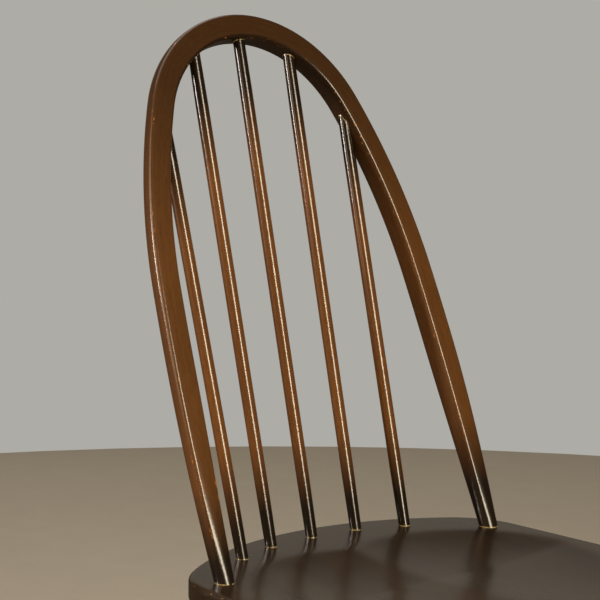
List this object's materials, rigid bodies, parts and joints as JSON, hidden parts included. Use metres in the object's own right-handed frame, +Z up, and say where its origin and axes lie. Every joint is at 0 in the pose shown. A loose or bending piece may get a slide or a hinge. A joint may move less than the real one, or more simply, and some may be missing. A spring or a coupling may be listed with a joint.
{
  "type": "dining chair",
  "caption": "Hoop-back Windsor dining chair in dark stained wood, with a bent bow, plain tapered spindles, a saddled seat and splayed turned legs joined by stretchers.",
  "frame": {"origin": "on the floor, under the middle of the chair's outline", "axes": "+X across the seat to the side called right, +Y from the front of the seat to the back, +Z up"},
  "size_m": [0.4106, 0.4602, 0.945],
  "materials": {
    "hoop_beech": "satin lacquer over brown stain",
    "spindle_beech": "satin lacquer over brown stain",
    "seat_beech": "gloss lacquer over dark brown stain",
    "leg_beech": "satin lacquer over brown stain",
    "wedge_beech": "bare end grain under thin stain"
  },
  "bodies": {
    "root": {"hoop": "hoop_beech", "hoop_wedge_left": "wedge_beech", "hoop_wedge_right": "wedge_beech", "spindle_left_outer": "spindle_beech", "spindle_left_inner": "spindle_beech", "spindle_centre": "spindle_beech", "spindle_right_inner": "spindle_beech", "spindle_right_outer": "spindle_beech", "seat_board_left": "seat_beech", "seat_board_mid_left": "seat_beech", "seat_board_centre": "seat_beech", "seat_board_mid_right": "seat_beech", "seat_board_right": "seat_beech", "leg_front_left": "leg_beech", "leg_front_right": "leg_beech", "leg_back_left": "leg_beech", "leg_back_right": "leg_beech", "stretcher_left": "leg_beech", "stretcher_right": "leg_beech", "stretcher_cross": "leg_beech"}
  },
  "joints": []
}
